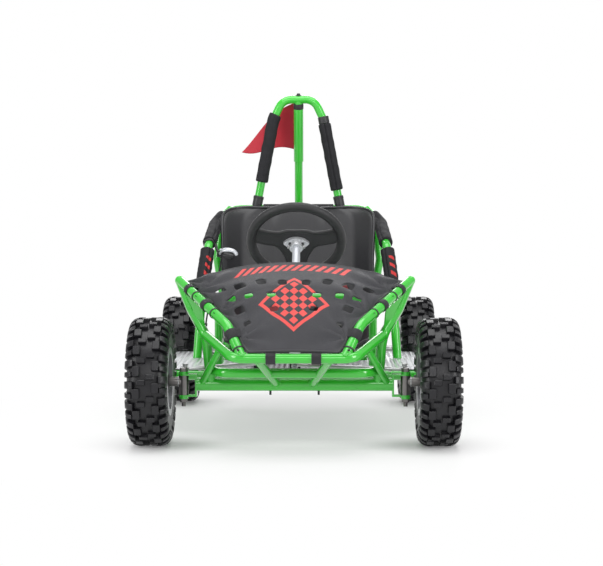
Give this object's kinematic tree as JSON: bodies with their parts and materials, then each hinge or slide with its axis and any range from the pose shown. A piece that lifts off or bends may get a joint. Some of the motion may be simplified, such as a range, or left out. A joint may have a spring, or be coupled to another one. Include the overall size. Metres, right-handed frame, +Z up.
{
  "type": "electric go-kart",
  "caption": "Low tube-framed electric kart with knobbly tyres, bucket seat, padded roll hoop, cloth nose cover and steered front wheels.",
  "frame": {"origin": "middle of the overall box, on the ground under the tyres", "axes": "+Z up, -Y towards the nose, +X towards the driver's right as seen from the front of the kart (its left-hand side when driving)"},
  "size_m": [0.856, 1.3398, 0.9641],
  "materials": {
    "frame": "gloss",
    "black_steel": "satin",
    "bright_steel": "satin",
    "machined_aluminium": "satin",
    "chequer_plate": "satin",
    "wheel_steel": "satin",
    "tyre": "matte",
    "seat_shell": "matte",
    "wheel_grip": "matte",
    "cover_cloth": "matte",
    "pad_cloth": "matte",
    "belt_web": "matte",
    "flag_cloth": "matte",
    "black_plastic": "satin",
    "cast_alloy": "satin"
  },
  "bodies": {
    "chassis": {"floor_frame": "frame", "nose_tube": "frame", "corner_tubes": "frame", "nose_struts": "frame", "dash_hoop": "frame", "column_supports": "black_steel", "step_frames": "frame", "step_plates": "chequer_plate", "floor_plate": "chequer_plate", "shoulder_hoop": "frame", "side_rails": "frame", "roll_hoop": "frame", "hoop_sockets": "black_steel", "rear_brace": "frame", "hoop_plate": "black_steel", "seat": "seat_shell", "lap_belt": "belt_web", "nose_cover": "cover_cloth", "cover_straps": "cover_cloth", "hoop_pads": "pad_cloth", "rail_pads": "pad_cloth", "flag_pole": "black_plastic", "flag": "flag_cloth", "battery_box": "black_plastic", "motor": "cast_alloy", "drive_chain": "bright_steel", "axle_carriers": "black_steel", "brake_calliper": "cast_alloy", "brake_cable": "black_plastic", "cable_clips": "black_plastic", "pedals": "black_steel", "hand_brake": "black_steel"},
    "steering": {"steering_column": "bright_steel", "wheel_adapter": "machined_aluminium", "steering_wheel": "wheel_grip"},
    "left_tie_rod": {"tie_rod_left": "bright_steel"},
    "right_tie_rod": {"tie_rod_right": "bright_steel"},
    "left_knuckle": {"knuckle_left": "bright_steel"},
    "right_knuckle": {"knuckle_right": "bright_steel"},
    "left_front_wheel": {"front_rim_left": "wheel_steel", "front_tyre_left": "tyre"},
    "right_front_wheel": {"front_rim_right": "wheel_steel", "front_tyre_right": "tyre"},
    "rear_axle_set": {"rear_axle": "bright_steel", "rear_sprocket": "bright_steel", "brake_disc": "bright_steel", "rear_rim_left": "wheel_steel", "rear_rim_right": "wheel_steel", "rear_tyre_left": "tyre", "rear_tyre_right": "tyre"}
  },
  "joints": [
    {"name": "steering_turn", "type": "hinge", "parent": "chassis", "child": "steering", "pos_m": [0, -0.4151, 0.229], "axis": [0, 0.7547, 0.6561], "range_deg": [-45, 45]},
    {"name": "left_rod_turn", "type": "hinge", "parent": "steering", "child": "left_tie_rod", "pos_m": [0, -0.38636, 0.21423], "axis": [0, 0.7547, 0.6561], "range_deg": [-46, 46]},
    {"name": "left_knuckle_turn", "type": "hinge", "parent": "chassis", "child": "left_knuckle", "pos_m": [-0.285, -0.4551, 0.165], "axis": [0, 0, 1], "range_deg": [-23, 23]},
    {"name": "left_front_wheel_spin", "type": "hinge", "parent": "left_knuckle", "child": "left_front_wheel", "pos_m": [-0.368, -0.4551, 0.165], "axis": [1, 0, 0], "continuous": true},
    {"name": "right_rod_turn", "type": "hinge", "parent": "steering", "child": "right_tie_rod", "pos_m": [0, -0.39995, 0.20242], "axis": [0, 0.7547, 0.6561], "range_deg": [-46, 46]},
    {"name": "right_knuckle_turn", "type": "hinge", "parent": "chassis", "child": "right_knuckle", "pos_m": [0.285, -0.4551, 0.165], "axis": [0, 0, 1], "range_deg": [-23, 23]},
    {"name": "right_front_wheel_spin", "type": "hinge", "parent": "right_knuckle", "child": "right_front_wheel", "pos_m": [0.368, -0.4551, 0.165], "axis": [1, 0, 0], "continuous": true},
    {"name": "rear_axle_spin", "type": "hinge", "parent": "chassis", "child": "rear_axle_set", "pos_m": [0, 0.5049, 0.165], "axis": [1, 0, 0], "continuous": true}
  ],
  "couplings": [
    {"joint": "left_rod_turn", "follows": "steering_turn", "ratio": -1},
    {"joint": "left_knuckle_turn", "follows": "steering_turn", "ratio": 0.5},
    {"joint": "right_rod_turn", "follows": "steering_turn", "ratio": -1},
    {"joint": "right_knuckle_turn", "follows": "steering_turn", "ratio": 0.5}
  ]
}
